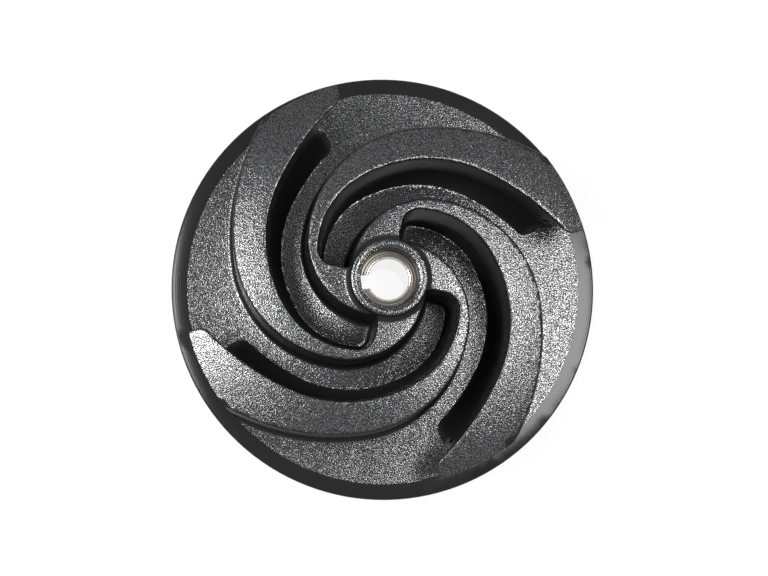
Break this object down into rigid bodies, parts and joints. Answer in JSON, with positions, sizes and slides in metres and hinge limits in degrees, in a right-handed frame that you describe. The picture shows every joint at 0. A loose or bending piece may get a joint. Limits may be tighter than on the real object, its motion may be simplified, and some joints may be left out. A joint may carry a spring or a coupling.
{
  "type": "pump impeller",
  "caption": "Semi-open centrifugal pump impeller, sand cast in one piece: spiral vanes that widen outwards on a back shroud, with a keyed hub and a turned rim",
  "frame": {"origin": "centre of the back face, on the axis of the bore", "axes": "+Z along the bore, out of the suction side; the keyway points to -X"},
  "size_m": [0.26, 0.26, 0.072],
  "materials": {
    "casting": "satin black enamel over the cast skin, turned rim and seat"
  },
  "bodies": {
    "root": {"impeller": "casting"}
  },
  "joints": []
}
